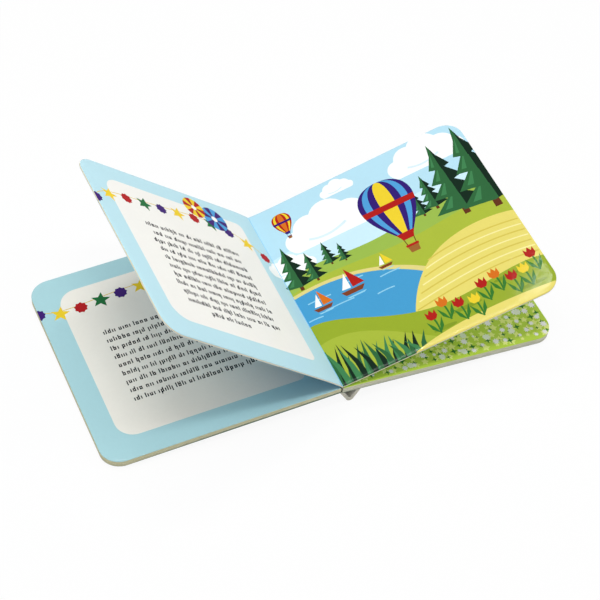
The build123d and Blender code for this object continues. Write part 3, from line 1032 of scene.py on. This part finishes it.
def makeStripHalf(name, half):
    outer, inner, meets = armLines(half)
    section = outer + inner[::-1]
    if half == "front":
        section = section[::-1]
    count, steps = len(section), len(outer) - 1
    ys = np.linspace(-book["pageHeight"] / 2, book["pageHeight"] / 2, strip["lengthSteps"] + 1)
    verts = [(x * mm, y * mm, z * mm) for y in ys for x, z in section]
    skin = []

    def addFace(corners, ink, slot):
        flat = [((verts[i][0] + verts[i][1]) / mm / mapUnit, -verts[i][2] / mm / mapUnit) for i in corners]
        skin.append((corners, toLinear(inks[ink]), slot, flat))

    for row in range(len(ys) - 1):
        for i in range(count):
            after = (i + 1) % count
            onEnds = i in (steps, count - 1)
            outside = (i < steps) == (half == "back")
            addFace([row * count + i, (row + 1) * count + i, (row + 1) * count + after, row * count + after],
                    "spinePrint" if outside else "spineLining", 1 if onEnds else 0)
    last = (len(ys) - 1) * count
    for i in range(steps):
        quad = [i + 1, count - 2 - i, count - 1 - i, i]
        addFace(quad, "spineLining", 1)
        addFace([last + k for k in quad[::-1]], "spineLining", 1)
    piece = meshPiece(name, verts, skin, (laminatedPrint, cutSpineBoard))
    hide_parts("spine_strip")
    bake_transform(piece)


makeStripHalf("spineStripFront", "front")
makeStripHalf("spineStripBack", "back")


# Floor, light and camera. The camera was fitted to the corners of the pages.
view = {
    "focalPixels": 1861.512,
    "framePixels": 600,
    "sensor": 36.0,
    "clip": (0.01, 20.0),          # m
    "azimuth": -28.38029,
    "elevation": 48.02103,
    "roll": 6.4729,
    "distance": 7.77988 * book["pageWidth"],
    "aside": 0.02619 * book["pageWidth"],
    "above": -0.00049 * book["pageWidth"],
    "target": (0.375, 0.0, 15.2),
}
studio = {
    "card": "#EDEDED",
    "whiteOverCard": 0.92,         # share of plain white in what the camera sees of the card
    "floorReach": 3.0,             # m
    "floorDrop": 0.0004,
    "softLight": 0.5,
}


# Sets an object at a place, with its own x, y and z along three directions
def turn(thing, place, *axes):
    thing.matrix_world = Matrix.Translation(place) @ Matrix(axes).transposed().to_4x4()


def placeCamera():
    azimuth, elevation, roll = (math.radians(view[k]) for k in ("azimuth", "elevation", "roll"))
    back = Vector((math.sin(azimuth) * math.cos(elevation), -math.cos(azimuth) * math.cos(elevation),
                   math.sin(elevation)))
    level = Vector((math.cos(azimuth), math.sin(azimuth), 0))
    upright = back.cross(level)
    right = level * math.cos(roll) + upright * math.sin(roll)
    up = -level * math.sin(roll) + upright * math.cos(roll)
    place = Vector(view["target"]) + back * view["distance"] + right * view["aside"] + up * view["above"]
    data = bpy.data.cameras.new("photoCamera")
    data.sensor_width = view["sensor"]
    data.lens = view["focalPixels"] * view["sensor"] / view["framePixels"]
    data.clip_start, data.clip_end = view["clip"]
    bpy.context.scene.camera = addObject("photoCamera", data)
    turn(bpy.context.scene.camera, place * mm, right, up, back)


# 1 for rays from the camera and for clear reflections, 0 for rays that light the object
def seenRays(tree):
    path = addNode(tree, "ShaderNodeLightPath")
    mirrored = calculate(tree, "MAXIMUM", path.outputs["Is Glossy Ray"], path.outputs["Is Transmission Ray"])
    return calculate(tree, "MAXIMUM", path.outputs["Is Camera Ray"], mirrored)


# A sheet of matt white card. The camera and clear reflections see it all but white, with the shadow on it.
def makeFloor():
    material, tree = newMaterial("whiteCardFloor")
    closeMaterial(tree, "ShaderNodeMixShader", {
        0: calculate(tree, "MULTIPLY", seenRays(tree), studio["whiteOverCard"]),
        1: addNode(tree, "ShaderNodeBsdfDiffuse", {"Color": toLinear(studio["card"])}),
        2: addNode(tree, "ShaderNodeEmission", {"Color": (1, 1, 1, 1), "Strength": 1.0})})
    mesh = bpy.data.meshes.new("floor")
    far = studio["floorReach"]
    corners = ((-far, -far), (far, -far), (far, far), (-far, far))
    mesh.from_pydata([(x, y, -studio["floorDrop"]) for x, y in corners], [], [(0, 1, 2, 3)])
    mesh.materials.append(material)
    addObject("floor", mesh)


# An oval softbox whose long side lies along a direction
def addLamp(name, place, target, along, width, height, watts):
    data = bpy.data.lights.new(name, "AREA")
    data.shape, data.size, data.size_y, data.energy = "ELLIPSE", width, height, watts
    away = (Vector(place) - Vector(target)).normalized()
    upright = away.cross(Vector(along)).normalized()
    turn(addObject(name, data), place, upright.cross(away), upright, away)


def lightWorld():
    world = bpy.data.worlds.new("studio")
    bpy.context.scene.world = world
    world.use_nodes = True
    tree = world.node_tree
    tree.nodes.clear()
    soft, white = (addNode(tree, "ShaderNodeBackground", {"Color": (1, 1, 1, 1), "Strength": strength})
                   for strength in (studio["softLight"], 1.0))
    addNode(tree, "ShaderNodeOutputWorld", {
        "Surface": addNode(tree, "ShaderNodeMixShader", {0: seenRays(tree), 1: soft, 2: white})})


placeCamera()
makeFloor()
lightWorld()
addLamp("overheadSoftbox", (-0.52, 0.13, 1.18), (0, 0, 0.03), (1, 0, 0), 0.9, 0.9, 4.1)
addLamp("sideSoftbox", (0.98, -0.30, 0.66), (0, 0, 0.03), (0, 1, 0), 0.3, 0.3, 2.3)
addLamp("nearKey", (-0.12, -0.2, 1.1), (0, 0, 0.03), (1, 0, 0), 0.42, 0.1, 2.7)
addLamp("edgeStrip", (0.035, 0.345, 1.0), (0.07, -0.07, 0.04), (0.31, -0.14, 0), 0.4, 0.03, 1.46)
addLamp("cornerGlint", (0.175, 0.41, 1.0), (0.13, -0.07, 0.05), (1, 0, 0), 0.1, 0.08, 0.7)
bpy.context.scene.view_settings.view_transform = "Standard"
print("floor, light and camera set")
